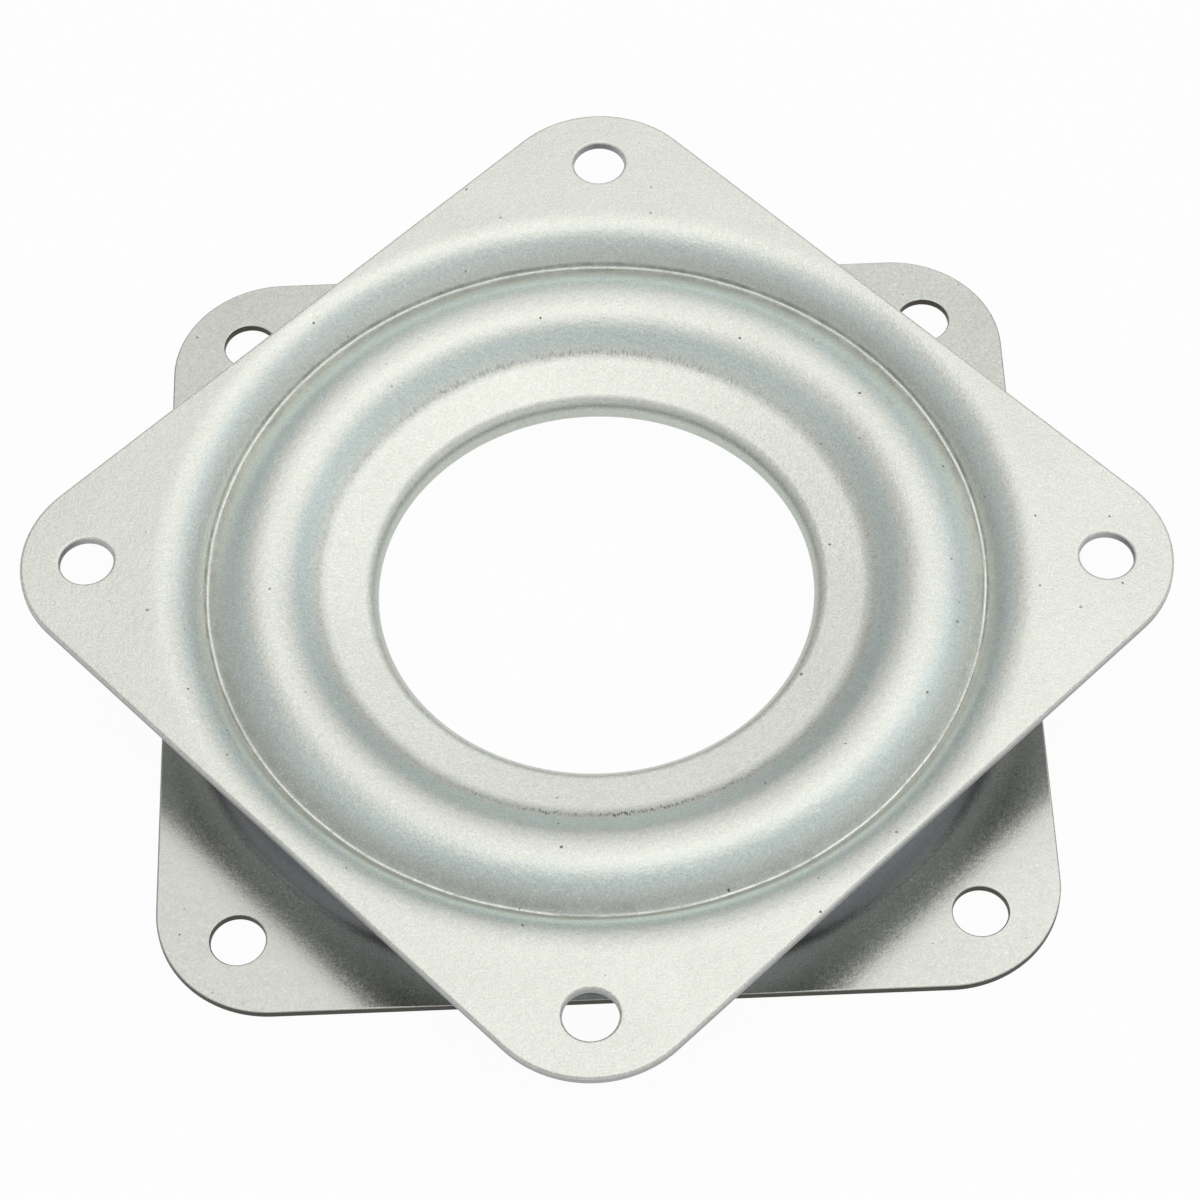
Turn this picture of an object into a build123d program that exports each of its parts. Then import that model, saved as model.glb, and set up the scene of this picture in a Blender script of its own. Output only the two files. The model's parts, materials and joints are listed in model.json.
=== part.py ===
from build123d import *
from math import acos, asin, atan2, hypot, pi, radians, sin, tan
import os

# Square swivel bearing: two pressed steel plates that turn on a ring of loose balls.
# The bearing's axis is Z, the lower plate's flange stands on Z = 0, and the lower plate is
# square to X and Y. Sections are drawn as (radius, height), with height 0 halfway up.

# Whole bearing
PLATE_SIDE = 70.0
BEARING_HEIGHT = 9.0
SHEET = 0.8
CORNER_RADIUS = 9.1
REST_TURN = 42.7

# Screw holes, each this far in from the two sides of its corner
HOLE_INSET = 6.4
HOLE_DIAMETER = 4.3

# Ball bead: a wide arc of sheet over the balls, with short straight flanks to the crease and the foot
BALL_CIRCLE_RADIUS = 26.55
BALL_DIAMETER = 6.0
BALL_CLEARANCE = 0.04
BALL_SPACING = 0.2
BEAD_BEND = 4.7

# Outside the bead, a wall rises from the sharp crease to the wide knee, where the flange starts.
# The drops are measured down from the bead's crest.
CREASE_OFFSET = 4.4
CREASE_DROP = 1.72
CREASE_BEND = 0.15
KNEE_OFFSET = 1.55
KNEE_BEND = 4.3

# Inside the bead, the upper plate's ring runs from the foot line in to the centre hole
FOOT_OFFSET = 4.75
FOOT_DROP = 1.95
FOOT_BEND = 3.0
RING_WIDTH = 4.35

# The upper plate's lip is curled round the lower plate's inner edge, which is a flat landing
CURL_CLEARANCE = 0.15
CURL_SIDE_CLEARANCE = 0.6
CURL_OVERLAP = 2.0
LANDING_FLANK_ANGLE = 53.0
LANDING_FLANK_CLEARANCE = 0.22
LANDING_BEND = 0.6

# Shares: how far a bend may fill its straight runs, and the curl's bend against its slot
MAX_FILL_RATIO = 0.97
CURL_BEND_RATIO = 0.9

# Radii and heights that follow from the sizes above
CREASE_RADIUS = BALL_CIRCLE_RADIUS + CREASE_OFFSET
KNEE_RADIUS = CREASE_RADIUS + KNEE_OFFSET
FOOT_RADIUS = BALL_CIRCLE_RADIUS - FOOT_OFFSET
CENTRE_HOLE_RADIUS = FOOT_RADIUS - RING_WIDTH
HOLE_SPACING = PLATE_SIDE - 2 * HOLE_INSET
HALF_HEIGHT = BEARING_HEIGHT / 2
CREST = SHEET + BALL_CLEARANCE + BALL_DIAMETER / 2
BALL_BEND = CREST - SHEET
SLOT_HALF = SHEET / 2 + CURL_CLEARANCE
CURL_HALF = SLOT_HALF + SHEET
CURL_BEND = CURL_BEND_RATIO * SLOT_HALF
LOWER_EDGE_RADIUS = CENTRE_HOLE_RADIUS + SHEET + CURL_SIDE_CLEARANCE
CURL_END_RADIUS = LOWER_EDGE_RADIUS + CURL_OVERLAP
DISH_BENDS = [KNEE_BEND, CREASE_BEND, BEAD_BEND]
BALL_COUNT = int(pi / asin((BALL_DIAMETER + BALL_SPACING) / (2 * BALL_CIRCLE_RADIUS)))


def direction(start, end):
    """Unit direction from one section point to the next."""
    length = hypot(end[0] - start[0], end[1] - start[1])
    return (end[0] - start[0]) / length, (end[1] - start[1]) / length


def turn_share(before, after):
    """Tangent of half the turn between two directions: how far a bend of radius 1 reaches."""
    cosine = before[0] * after[0] + before[1] * after[1]
    return ((1 - cosine) / (1 + cosine)) ** 0.5


def moved_in(points, depth):
    """The same corners on a line that lies this deep in the sheet, measured from its outer face."""
    ways = [direction(a, b) for a, b in zip(points, points[1:])]
    ways = [ways[0]] + ways + [ways[-1]]
    corners = []
    for point, before, after in zip(points, ways, ways[1:]):
        spread = 1 + before[0] * after[0] + before[1] * after[1]
        across = (-before[1] - after[1], before[0] + after[0])
        corners.append((point[0] + depth * across[0] / spread, point[1] + depth * across[1] / spread))
    return corners


def fitted(bends, points):
    """The inside bend radii, each limited to the straight runs beside its corner.

    A bend that needs more than half of a run may have all that the run's other bend leaves.
    """
    middle = moved_in(points, SHEET / 2)
    runs = [hypot(b[0] - a[0], b[1] - a[1]) for a, b in zip(middle, middle[1:])]
    ways = [direction(a, b) for a, b in zip(middle, middle[1:])]
    shares = [turn_share(a, b) for a, b in zip(ways, ways[1:])]
    reach = [0.0] + [(bend + SHEET / 2) * share for bend, share in zip(bends, shares)] + [0.0]
    limited = []
    for i, share in enumerate(shares, start=1):
        before = max(runs[i - 1] / 2, runs[i - 1] - reach[i - 1])
        after = max(runs[i] / 2, runs[i] - reach[i + 1])
        limited.append(min(reach[i], MAX_FILL_RATIO * before, MAX_FILL_RATIO * after) / share - SHEET / 2)
    return limited


def sheet_section(points, bends):
    """Face of a bent sheet, from the corners of its outer face and the inside radius of each bend."""
    ways = [direction(a, b) for a, b in zip(points, points[1:])]
    inside_hidden = [a[0] * b[1] - a[1] * b[0] > 0 for a, b in zip(ways, ways[1:])]
    bends = fitted(bends, points)
    outer_radii = [bend + SHEET * inside for bend, inside in zip(bends, inside_hidden)]
    hidden_radii = [bend + SHEET * (not inside) for bend, inside in zip(bends, inside_hidden)]
    hidden = moved_in(points, SHEET)
    outer_face = FilletPolyline(*points, radius=outer_radii)
    hidden_face = FilletPolyline(*hidden, radius=hidden_radii)
    ends = [Line(points[0], hidden[0]), Line(points[-1], hidden[-1])]
    return make_face([*outer_face.edges(), *hidden_face.edges(), *[end.edge() for end in ends]])


def shoulder_offset(offset, drop):
    """How far from the ball circle a flank meets the crest line.

    The flank starts at this offset from the ball circle and this drop from the crest, and is
    tangent to the bead's arc, which is level at the crest.
    """
    radius = BEAD_BEND + SHEET
    height = radius - drop
    tilt = atan2(offset, height) - acos(radius / hypot(offset, height))
    return radius * tan(tilt / 2)


def dish_corners():
    """Outer face corners that both plates share, from beyond the flange in to the bead's outer shoulder."""
    return [
        (PLATE_SIDE, HALF_HEIGHT),
        (KNEE_RADIUS, HALF_HEIGHT),
        (CREASE_RADIUS, CREST - CREASE_DROP),
        (BALL_CIRCLE_RADIUS + shoulder_offset(CREASE_OFFSET, CREASE_DROP), CREST),
    ]


def plate_from(corners, bends):
    """One pressed plate: the section turned about the axis and trimmed to the rounded square."""
    turned = revolve(Plane.XZ * sheet_section(corners, bends), Axis.Z)
    outline = RectangleRounded(PLATE_SIDE, PLATE_SIDE, CORNER_RADIUS)
    outline -= GridLocations(HOLE_SPACING, HOLE_SPACING, 2, 2) * Circle(HOLE_DIAMETER / 2)
    blank = extrude(outline, BEARING_HEIGHT, both=True)
    return (turned & blank).solid()


def upper_plate():
    """Upper plate, with the lip at its centre hole curled out under the lower plate's edge."""
    foot_height = CREST - FOOT_DROP
    over_edge = CURL_HALF + CURL_CLEARANCE / 2
    fall = (foot_height - over_edge) / (FOOT_RADIUS - LOWER_EDGE_RADIUS)
    lip_top = over_edge - fall * (LOWER_EDGE_RADIUS - CENTRE_HOLE_RADIUS)
    corners = dish_corners() + [
        (BALL_CIRCLE_RADIUS - shoulder_offset(FOOT_OFFSET, FOOT_DROP), CREST),
        (FOOT_RADIUS, foot_height),
        (CENTRE_HOLE_RADIUS, lip_top),
        (CENTRE_HOLE_RADIUS, -CURL_HALF),
        (CURL_END_RADIUS, -CURL_HALF),
    ]
    plate = plate_from(corners, [*DISH_BENDS, BEAD_BEND, FOOT_BEND, CURL_BEND, CURL_BEND])
    return Pos(0, 0, HALF_HEIGHT) * Rot(0, 0, REST_TURN) * plate


def lower_plate():
    """Lower plate, upside down.

    Inside the crest, its bead closes round the balls and drops to the flat landing that the curl holds.
    """
    angle = radians(LANDING_FLANK_ANGLE)
    flank_distance = BALL_DIAMETER / 2 + LANDING_FLANK_CLEARANCE + SHEET
    flank_at_centre = BALL_CIRCLE_RADIUS - flank_distance / sin(angle)
    corners = dish_corners() + [
        (flank_at_centre + CREST / tan(angle), CREST),
        (flank_at_centre + SHEET / 2 / tan(angle), SHEET / 2),
        (LOWER_EDGE_RADIUS, SHEET / 2),
    ]
    plate = plate_from(corners, [*DISH_BENDS, BALL_BEND, LANDING_BEND])
    return Pos(0, 0, HALF_HEIGHT) * Rot(180, 0, 0) * plate


def balls():
    """The ring of loose steel balls, a full circle less the play that lets them roll."""
    places = PolarLocations(BALL_CIRCLE_RADIUS, BALL_COUNT)
    return [Pos(0, 0, HALF_HEIGHT) * place * Sphere(BALL_DIAMETER / 2) for place in places]


def write(node, shape):
    """Write one piece to its own file."""
    shape.label = node
    export_step(shape, f"parts/{node}.step")


os.makedirs("parts", exist_ok=True)
write("lower_plate", lower_plate())
write("upper_plate", upper_plate())
for number, ball in enumerate(balls(), start=1):
    write(f"ball_{number:02d}", ball)
print(f"balls: {BALL_COUNT}, crest depth {HALF_HEIGHT - CREST:.2f}")
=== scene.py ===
"""Studio scene of a square lazy susan bearing: two pressed zinc plated plates on a ring of balls."""

from __future__ import annotations

import json
import logging
import math
from dataclasses import dataclass, field
from enum import Enum
from functools import reduce

import bpy
import numpy as np
from mathutils import Matrix, Vector
from mathutils.geometry import delaunay_2d_cdt

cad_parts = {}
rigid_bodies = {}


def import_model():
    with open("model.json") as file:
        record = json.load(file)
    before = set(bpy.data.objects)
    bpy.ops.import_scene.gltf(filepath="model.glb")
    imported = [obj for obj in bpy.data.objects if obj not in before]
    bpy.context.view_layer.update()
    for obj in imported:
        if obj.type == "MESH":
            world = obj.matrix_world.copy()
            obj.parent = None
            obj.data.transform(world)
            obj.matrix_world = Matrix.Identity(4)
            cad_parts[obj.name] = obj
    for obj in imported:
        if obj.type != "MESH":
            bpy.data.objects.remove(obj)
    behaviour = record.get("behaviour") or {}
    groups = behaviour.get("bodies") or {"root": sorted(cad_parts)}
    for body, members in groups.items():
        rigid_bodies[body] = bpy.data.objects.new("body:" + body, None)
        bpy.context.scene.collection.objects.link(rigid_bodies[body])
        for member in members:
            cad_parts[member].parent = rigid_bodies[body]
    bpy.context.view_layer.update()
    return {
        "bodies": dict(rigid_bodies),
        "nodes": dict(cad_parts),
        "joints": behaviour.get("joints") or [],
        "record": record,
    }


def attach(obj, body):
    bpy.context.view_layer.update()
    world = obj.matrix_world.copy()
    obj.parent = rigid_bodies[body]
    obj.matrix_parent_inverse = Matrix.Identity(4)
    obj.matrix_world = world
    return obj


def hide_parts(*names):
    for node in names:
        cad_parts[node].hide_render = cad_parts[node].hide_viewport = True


LOG = logging.getLogger("bearing")
MM = 0.001
WELD_STEPS_PER_MM = 4000
MERGE_DISTANCE = 1e-7
LAYER = "sheet_layer"
Colour = tuple[float, float, float]
WHITE = (1.0, 1.0, 1.0, 1.0)
WARM_LIGHT = (1.0, 0.99, 0.96)


# Shader graphs


class Value:
    """A number socket that can be used in Python expressions, which add Math nodes."""

    def __init__(self, graph: Graph, socket: bpy.types.NodeSocket) -> None:
        """Keep the graph and the socket that carries the number."""
        self.graph = graph
        self.socket = socket

    def __add__(self, other: Value | float) -> Value:
        """Sum."""
        return self.graph.math("ADD", self, other)

    def __sub__(self, other: Value | float) -> Value:
        """Difference."""
        return self.graph.math("SUBTRACT", self, other)

    def __rsub__(self, other: float) -> Value:
        """Difference with a number on the left."""
        return self.graph.math("SUBTRACT", other, self)

    def __mul__(self, other: Value | float) -> Value:
        """Product."""
        return self.graph.math("MULTIPLY", self, other)

    def __truediv__(self, other: Value | float) -> Value:
        """Quotient."""
        return self.graph.math("DIVIDE", self, other)

    def __rtruediv__(self, other: float) -> Value:
        """Quotient with a number on the left."""
        return self.graph.math("DIVIDE", other, self)

    def __abs__(self) -> Value:
        """Absolute value."""
        return self.graph.math("ABSOLUTE", self)

    __radd__ = __add__
    __rmul__ = __mul__

    def root(self) -> Value:
        """Square root."""
        return self.graph.math("SQRT", self)

    def greatest(self, other: Value | float) -> Value:
        """The greater of two values."""
        return self.graph.math("MAXIMUM", self, other)

    def clamped(self) -> Value:
        """The value kept between 0 and 1."""
        return self.graph.math("ADD", self, 0.0, clamp=True)

    def ramp(self, low: float, high: float) -> Value:
        """Smooth step from 0 at low to 1 at high, in either order."""
        inputs = {"Value": self, "From Min": low, "From Max": high}
        return self.graph.node("ShaderNodeMapRange", {"interpolation_type": "SMOOTHSTEP"}, inputs)

    def band(self, centre: float, half_width: float) -> Value:
        """Smooth bump: 1 at the centre, 0 from half_width away."""
        return abs(self - centre).ramp(half_width, 0.0)


class Graph:
    """The node tree of one material or world, with a short way to add nodes to it."""

    def __init__(self, owner: bpy.types.Material | bpy.types.World) -> None:
        """Switch the owner to nodes and clear its tree."""
        owner.use_nodes = True
        self.tree = owner.node_tree
        self.tree.nodes.clear()

    def node(
        self,
        kind: str,
        settings: dict[str, object] | None = None,
        inputs: dict[str | int, object] | None = None,
        output: str | int = 0,
    ) -> Value:
        """Add one node.

        Args:
            kind: The node's type.
            settings: The node's own properties, set first.
            inputs: Socket names or places, each with a number, a colour, a vector or a value.
            output: The output socket that is returned.

        Returns:
            The chosen output as a value.
        """
        node = self.tree.nodes.new(kind)
        for name, setting in (settings or {}).items():
            setattr(node, name, setting)
        for name, given in (inputs or {}).items():
            socket = node.inputs[name]
            if isinstance(given, Value):
                self.tree.links.new(given.socket, socket)
            else:
                socket.default_value = given
        return Value(self, node.outputs[output])

    def math(self, operation: str, *operands: Value | float, clamp: bool = False) -> Value:
        """A Math node on values and numbers."""
        settings = {"operation": operation, "use_clamp": clamp}
        return self.node("ShaderNodeMath", settings, dict(enumerate(operands)))

    def object_point(self) -> Value:
        """Object coordinates, in millimetres."""
        point = self.node("ShaderNodeTexCoord", output="Object")
        scale = {0: point, "Scale": 1 / MM}
        return self.node("ShaderNodeVectorMath", {"operation": "SCALE"}, scale)

    def parts(self, vector: Value) -> tuple[Value, Value, Value]:
        """The X, Y and Z of a vector."""
        split = self.node("ShaderNodeSeparateXYZ", inputs={0: vector}).socket.node
        return tuple(Value(self, socket) for socket in split.outputs)

    def rays(self) -> tuple[Value, Value, Value]:
        """Whether a ray comes from the camera, from a mirroring surface or through a clear one."""
        path = self.node("ShaderNodeLightPath").socket.node
        kinds = ("Is Camera Ray", "Is Glossy Ray", "Is Transmission Ray")
        return tuple(Value(self, path.outputs[kind]) for kind in kinds)

    def vector(self, x: Value | float, y: Value | float, z: Value | float) -> Value:
        """A vector from three numbers."""
        return self.node("ShaderNodeCombineXYZ", inputs={0: x, 1: y, 2: z})

    def noise(self, point: Value, size: float, detail: float = 2.0, rough: float = 0.5) -> Value:
        """Noise from 0 to 1 whose features are about this size, in the point's units."""
        inputs = {"Vector": point, "Scale": 1 / size, "Detail": detail, "Roughness": rough}
        return self.node("ShaderNodeTexNoise", {"noise_dimensions": "3D"}, inputs, "Fac")

    def mix(self, factor: Value | float, under: object, over: object, blend: str = "MIX") -> Value:
        """Mix two colours.

        Args:
            factor: Share of the colour on top.
            under: The colour below, as a colour or a value.
            over: The colour on top.
            blend: The Mix node's blend type.

        Returns:
            The mixed colour.
        """
        settings = {"data_type": "RGBA", "blend_type": blend}
        under = under if isinstance(under, Value) else (*under, 1.0)
        over = over if isinstance(over, Value) else (*over, 1.0)
        return self.node("ShaderNodeMix", settings, {0: factor, 6: under, 7: over}, 2)

    def shaded(self, colour: object, gain: Value) -> Value:
        """A colour times a number."""
        grey = self.node("ShaderNodeCombineColor", inputs={0: gain, 1: gain, 2: gain})
        return self.mix(1.0, colour, grey, "MULTIPLY")

    def metal(self, inputs: dict[str, object]) -> Value:
        """A metal with these inputs, as a shader."""
        return self.node("ShaderNodeBsdfPrincipled", inputs={"Metallic": 1.0, **inputs})

    def surface(self, shader: Value, target: str = "ShaderNodeOutputMaterial") -> None:
        """Connect the finished shader to the output."""
        output = self.tree.nodes.new(target)
        self.tree.links.new(shader.socket, output.inputs["Surface"])


# Finishes


@dataclass(frozen=True)
class Spot:
    """The point that a graph shades: object coordinates in millimetres, also in polar form."""

    graph: Graph
    point: Value
    x: Value
    y: Value
    radius: Value
    cosine: Value
    sine: Value

    @classmethod
    def of(cls, graph: Graph) -> Spot:
        """Work out the graph's point.

        Args:
            graph: Takes the nodes.

        Returns:
            The point, with its radius and direction from the bearing's axis.
        """
        point = graph.object_point()
        x, y, _ = graph.parts(point)
        radius = (x * x + y * y).root()
        return cls(graph, point, x, y, radius, x / radius, y / radius)

    def noise(self, size: float, detail: float = 2.0, rough: float = 0.5) -> Value:
        """Noise at the point."""
        return self.graph.noise(self.point, size, detail, rough)

    def toward(self, bearing: float, spread: float) -> Value:
        """1 along a bearing from +X, and smoothly 0 from the spread away.

        Args:
            bearing: The direction from the axis, in degrees.
            spread: How far to each side the value reaches, in degrees.

        Returns:
            The value, a smooth step on the cosine of the angle from the bearing.
        """
        angle = math.radians(bearing)
        along = self.cosine * math.cos(angle) + self.sine * math.sin(angle)
        return along.ramp(math.cos(math.radians(spread)), 1.0)


@dataclass(frozen=True)
class Ring:
    """A soft ring about the axis: how far beyond a pressed circle it lies, and its half width."""

    beyond: float
    half_width: float

    def about(self, circle: float, radius: Value) -> Value:
        """1 on the ring beyond this circle, and smoothly 0 from its half width away."""
        return radius.band(circle + self.beyond, self.half_width)


@dataclass(frozen=True)
class Finish:
    """A procedural material."""

    name: str

    def shader(self, graph: Graph) -> Value:
        """The finish as a shader."""
        raise NotImplementedError

    def build(self) -> bpy.types.Material:
        """Make the material.

        Returns:
            The finished material.
        """
        material = bpy.data.materials.new(self.name)
        graph = Graph(material)
        graph.surface(self.shader(graph))
        return material


@dataclass(frozen=True)
class Scratch:
    """One family of scratches: their bearing in degrees, their length and the noise's offset."""

    bearing: float
    length: float
    seed: float


@dataclass(frozen=True)
class PressedZinc(Finish):
    """Zinc plated pressed sheet: satin metal with sparkling grain, tool marks and handling marks, and
    painted shade, a painted highlight, painted sparkle and a painted reflection tint in its colour.

    Lengths are in millimetres, and the rings lie about the plate's crease or foot. The hidden
    colour is painted shade: it multiplies the sheet's hidden face, which lies in shade, inside the
    radius underside_shade_within. Scratches and pits are shares: how much of their colour shows,
    and how many of the pattern's cells have one.
    """

    plate: PressedPlate
    body: Colour
    edge: Colour
    # Painted shade: the colour that multiplies the hidden face, which lies in shade.
    hidden: Colour
    roughness: float
    grain: float
    foot_marks: float
    pits: float
    pit_spacing: float
    # Radius inside which the hidden face gets its painted shade, and half the width of its soft edge.
    underside_shade_within: float = 99.0
    underside_shade_blend: float = 0.4
    # Painted reflection tint: the bluish green that the slopes mirror from their surroundings.
    shoulder: Colour = (0.735, 0.815, 0.79)
    # Painted shade in the crease, and also the colour of the real mottled stain there.
    crease_shade_and_stain: Colour = (0.55, 0.57, 0.53)
    # Painted shade on the curl's lip, where it rolls down into the centre hole.
    lip: Colour = (0.62, 0.66, 0.60)
    warm: Colour = (1.015, 1.0, 0.975)
    cool: Colour = (0.985, 1.0, 1.02)
    # Real burnish from the press tool, made brighter as a painted highlight.
    burnish_and_highlight: Colour = (1.0, 1.0, 0.98)
    scuffed: Colour = (0.90, 0.90, 0.87)
    grime: Colour = (0.17, 0.155, 0.14)
    speckle_size: float = 0.18
    fleck_size: float = 0.22
    spangle_size: float = 0.55
    mottle_size: float = 1.3
    cloud_size: float = 8.0
    tick_rate: float = 165.0
    scratch_width: float = 0.11
    scratches: float = 0.35
    outer_flank: Ring = Ring(-2.1, 2.0)
    inner_flank: Ring = Ring(1.6, 1.5)
    knee: Ring = Ring(1.6, 1.3)
    # Ring of painted shade on the last of the bead's outer flank, by the crease.
    flank_shade_ring: Ring = Ring(-0.7, 1.2)
    stain: Ring = Ring(-0.45, 0.5)
    # Ring of painted shade on the slope just outside the crease.
    wall_shade: Ring = Ring(0.55, 0.62)
    # Painted shadow line along the outer side of the crease's ridge.
    ridge_shadow: Ring = Ring(0.2, 0.2)
    crease_highlight_ring: Ring = Ring(0.0, 0.16)
    ticks: Ring = Ring(0.32, 0.3)
    lip_shade_blend: tuple[float, float] = (0.45, 0.15)
    families: tuple[Scratch, ...] = (Scratch(28.0, 9.0, 0.0), Scratch(-52.0, 6.0, 40.0))

    def shader(self, graph: Graph) -> Value:
        """Lay the looks over each other: tone with painted reflection tint and painted shade, grain with
        painted sparkle, burnish with a painted highlight, scratches, dirt, painted shade on the hidden
        face, and cut edge.

        Args:
            graph: Takes the nodes.

        Returns:
            The shader.
        """
        spot = Spot.of(graph)
        speckle = spot.noise(self.speckle_size, 2.0, 0.6)
        spangle = spot.noise(self.spangle_size, 2.0, 0.55)
        cloud = spot.noise(self.cloud_size)
        colour = self._tone(spot, cloud)
        # The grain's random tone, with its brightest specks raised further as painted sparkle.
        gain = 1.0 + (speckle - 0.5) * 0.65 + (spangle - 0.5) * 0.14 + (cloud - 0.5) * 0.1
        colour = graph.shaded(colour, gain + speckle.ramp(0.66, 0.74) * 0.2)
        fleck = spot.noise(self.fleck_size, 1.0).ramp(0.35, 0.65)
        colour = graph.mix(1.0, colour, graph.mix(fleck, self.warm, self.cool), "MULTIPLY")
        # Bright line along the crease: real burnish and a painted highlight.
        line = self._crease_burnish_and_highlight(spot)
        colour = graph.mix(line, colour, self.burnish_and_highlight)
        colour = graph.mix(self._scratches(spot) * self.scratches, colour, self.scuffed)
        dirt = self._foot_ticks(spot).greatest(self._pit_dots(spot))
        colour = graph.mix(dirt, colour, self.grime)
        layer = graph.node("ShaderNodeAttribute", {"attribute_name": LAYER}, output="Fac")
        cut = layer.ramp(0.15, 0.25) * layer.ramp(0.97, 0.9)
        # Painted shade on the hidden face: the upper plate's underside, and the lower plate's top face
        # where the upper plate covers it.
        within, blend = self.underside_shade_within, self.underside_shade_blend
        below = layer.ramp(0.93, 0.99) * spot.radius.ramp(within + blend, within - blend)
        colour = graph.mix(below, colour, graph.mix(1.0, colour, self.hidden, "MULTIPLY"))
        colour = graph.mix(cut, colour, graph.shaded(self.edge, 0.75 + speckle * 0.5))
        rough = self.roughness + (speckle - 0.5) * 0.2 - line * 0.1 + (dirt + cut) * 0.2
        height = (speckle - 0.5) * 0.8 + (spangle - 0.5)
        raised = {"Height": height, "Distance": self.grain * MM, "Strength": 0.9}
        normal = graph.node("ShaderNodeBump", inputs=raised)
        return graph.metal({"Base Color": colour, "Roughness": rough, "Normal": normal})

    def _tone(self, spot: Spot, cloud: Value) -> Value:
        """Colour across the dish, much of it painted light: a bluish green painted reflection tint on the
        slopes, painted shade with a real mottled stain by the crease, painted shade and a painted shadow
        line just outside it, and painted shade on the curl's lip.

        Args:
            spot: The point.
            cloud: Broad noise that varies the painted shade just outside the crease.

        Returns:
            The colour.
        """
        graph, radius = spot.graph, spot.radius
        crease, bore = self.plate.crease_radius, self.plate.hole_wall
        slopes = self.outer_flank.about(crease, radius) * 0.9
        slopes = slopes.greatest(self.inner_flank.about(self.plate.foot_radius, radius))
        slopes = slopes.greatest(self.knee.about(crease, radius) * 0.8)
        # Painted reflection tint on the slopes.
        colour = graph.mix(slopes, self.body, self.shoulder)
        mottle = spot.noise(self.mottle_size, 3.0, 0.6).ramp(0.38, 0.66)
        # Painted shade by the crease, stronger in front, with the real mottled stain laid over it.
        front = spot.toward(bearing=270.0, spread=105.0)
        flank_shade = self.flank_shade_ring.about(crease, radius) * (0.25 + front * 0.4)
        stained = self.stain.about(crease, radius) * mottle * 0.35
        colour = graph.mix((flank_shade + stained).clamped(), colour, self.crease_shade_and_stain)
        # Painted shade just outside the crease, strongest in front and varied by the broad noise.
        wall_shade = self.wall_shade.about(crease, radius) * (0.08 + front * 0.6 + (cloud - 0.5) * 0.3)
        # Painted shadow line beside the ridge; both painted marks go toward a darker copy of the crease
        # colour.
        ridge_shadow = self.ridge_shadow.about(crease, radius) * (0.45 + mottle * 0.35)
        dark = tuple(0.6 * share for share in self.crease_shade_and_stain)
        colour = graph.mix(wall_shade.greatest(ridge_shadow).clamped(), colour, dark)
        # Painted shade on the curl's lip at the centre hole.
        far, near = self.lip_shade_blend
        return graph.mix(radius.ramp(bore + far, bore + near), colour, self.lip)

    def _crease_burnish_and_highlight(self, spot: Spot) -> Value:
        """Share of the thin line along the crease: burnished by the press tool, and brightened further as a
        painted highlight.

        Args:
            spot: The point.

        Returns:
            The share, a ring that wanders and fades in places.
        """
        wander = (spot.noise(2.5) - 0.5) * 0.1
        broken = spot.noise(0.5).ramp(0.3, 0.5)
        return self.crease_highlight_ring.about(self.plate.crease_radius, spot.radius + wander) * (0.5 + broken * 0.5)

    def _foot_ticks(self, spot: Spot) -> Value:
        """Share of the short dark radial drag marks that the press tool left at the bead's foot.

        They are noise on the unit circle, stretched along the radius and ragged at both ends.

        Args:
            spot: The point.

        Returns:
            The share, most of it in front.
        """
        graph, rate = spot.graph, self.tick_rate
        turn = graph.vector(spot.cosine * rate, spot.sine * rate, spot.radius * 0.5)
        streak = graph.noise(turn, 1.0, 2.0, 0.6)
        ends = (graph.noise(turn, 1.7, 1.0) - 0.5) * 0.9
        reach = self.ticks.about(self.plate.foot_radius, spot.radius + ends)
        back = spot.toward(bearing=95.0, spread=65.0) * 0.3
        strong = spot.toward(bearing=272.0, spread=36.0).greatest(back)
        patchy = graph.noise(turn, 16.0, 2.0).ramp(0.35, 0.6)
        share = 0.12 + strong * 0.75 * (0.35 + patchy * 0.65) + patchy * 0.12
        return streak.ramp(0.43, 0.6) * reach * share * self.foot_marks

    def _pit_dots(self, spot: Spot) -> Value:
        """Share of the sparse dark pits: round dots in some of the cells of a Voronoi pattern.

        Args:
            spot: The point.

        Returns:
            The share.
        """
        graph = spot.graph
        place = graph.vector(spot.x / self.pit_spacing, spot.y / self.pit_spacing, 0.0)
        settings = {"voronoi_dimensions": "2D", "feature": "F1"}
        cells = graph.node("ShaderNodeTexVoronoi", settings, {"Vector": place, "Scale": 1.0}).socket.node
        distance, tint = Value(graph, cells.outputs["Distance"]), Value(graph, cells.outputs["Color"])
        chance, size, depth = graph.parts(tint)
        chosen = chance.ramp(1.0 - self.pits, 1.01 - self.pits)
        ragged = graph.noise(place, 0.03, 1.0) * 0.02
        return (distance + ragged - size * 0.035).ramp(0.022, 0.008) * chosen * (0.45 + depth * 0.5)

    def _scratches(self, spot: Spot) -> Value:
        """Share of the faint scratches: peaks of noises, each stretched along one direction.

        Args:
            spot: The point.

        Returns:
            The share.
        """
        peaks = []
        for family in self.families:
            cosine = math.cos(math.radians(family.bearing))
            sine = math.sin(math.radians(family.bearing))
            along, across = spot.x * cosine + spot.y * sine, spot.y * cosine - spot.x * sine
            place = spot.graph.vector(along / family.length, across / self.scratch_width, family.seed)
            peaks.append(spot.graph.noise(place, 1.0, 1.0).ramp(0.74, 0.8))
        return reduce(Value.greatest, peaks)


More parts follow.
